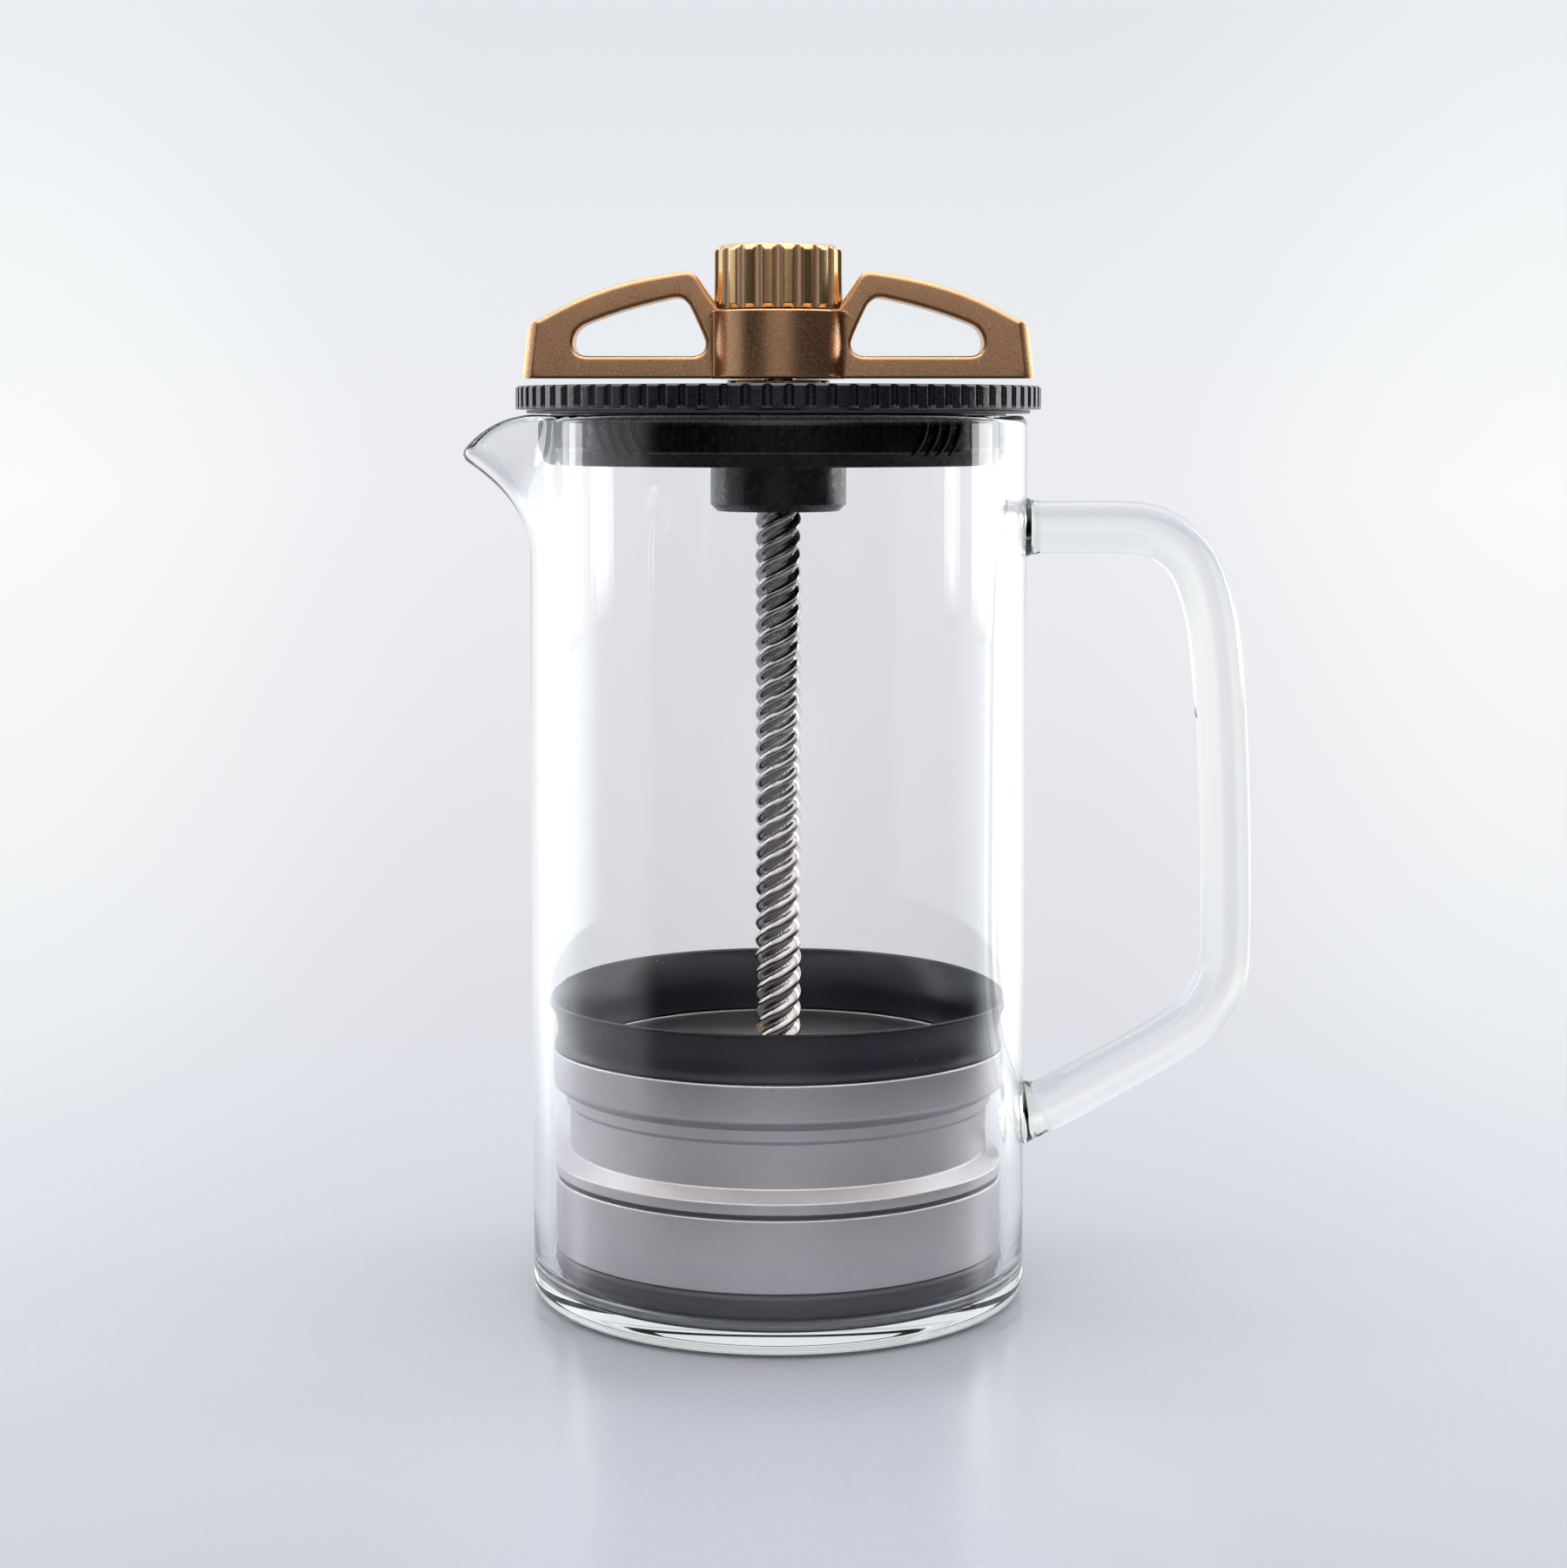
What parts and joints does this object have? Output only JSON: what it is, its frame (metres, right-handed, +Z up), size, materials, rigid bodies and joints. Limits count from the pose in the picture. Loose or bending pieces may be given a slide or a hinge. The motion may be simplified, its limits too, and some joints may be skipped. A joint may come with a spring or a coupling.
{
  "type": "screw-driven french press",
  "caption": "Glass coffee press whose winged handle turns a multi-start lead screw to raise and lower a sealed brewing pod.",
  "frame": {"origin": "on the beaker's axis, at the flat underside of its glass base", "axes": "+Z up along the beaker and the lead screw, +X towards the glass rod handle, -X towards the spout"},
  "size_m": [0.1439, 0.095, 0.1906],
  "materials": {
    "clear_glass": "clear, polished",
    "bronze": "bead-blasted bronze",
    "brass": "satin brass",
    "stainless": "polished stainless",
    "blasted_metal": "bead-blasted silver",
    "black_plastic": "fine-grained black",
    "silicone": "satin blue-black"
  },
  "bodies": {
    "beaker": {"beaker_body": "clear_glass", "beaker_handle": "clear_glass"},
    "gasket": {"lid_gasket": "silicone"},
    "lid": {"lid_cap": "black_plastic", "lid_plug": "black_plastic", "nut_housing": "black_plastic", "drive_nut": "brass", "nut_screw_1": "stainless", "nut_screw_2": "stainless", "nut_screw_3": "stainless"},
    "plunger": {"wiper_seal": "silicone", "top_plate": "stainless", "pod_upper": "blasted_metal", "swivel_bush": "brass", "upper_filter_screen": "stainless", "pod_joint_ring": "silicone"},
    "spindle": {"lead_screw": "stainless", "wing_handle": "bronze", "top_knob": "brass", "hub_collar": "brass", "end_washer": "stainless", "spindle_end_screw": "stainless"},
    "cup": {"pod_cup": "blasted_metal", "lower_filter_screen": "stainless", "screen_retainer": "stainless", "base_seal": "silicone"}
  },
  "joints": [
    {"name": "lid_lift", "type": "slide", "parent": "beaker", "child": "gasket", "axis": [0, 0, 1], "range_m": [0, 0.165]},
    {"name": "lid_turn", "type": "hinge", "parent": "gasket", "child": "lid", "pos_m": [0, 0, 0.16], "axis": [0, 0, 1], "continuous": true},
    {"name": "plunger_slide", "type": "slide", "parent": "lid", "child": "plunger", "axis": [0, 0, 1], "range_m": [0, 0.0896]},
    {"name": "handle_turn", "type": "hinge", "parent": "plunger", "child": "spindle", "pos_m": [0, 0, 0.17], "axis": [0, 0, 1], "range_deg": [0, 2520]},
    {"name": "cup_twist", "type": "hinge", "parent": "plunger", "child": "cup", "pos_m": [0, 0, 0.023], "axis": [0, 0, 1], "range_deg": [0, 60]}
  ],
  "couplings": [
    {"joint": "handle_turn", "follows": "plunger_slide", "rad_per_m": 490.87}
  ]
}
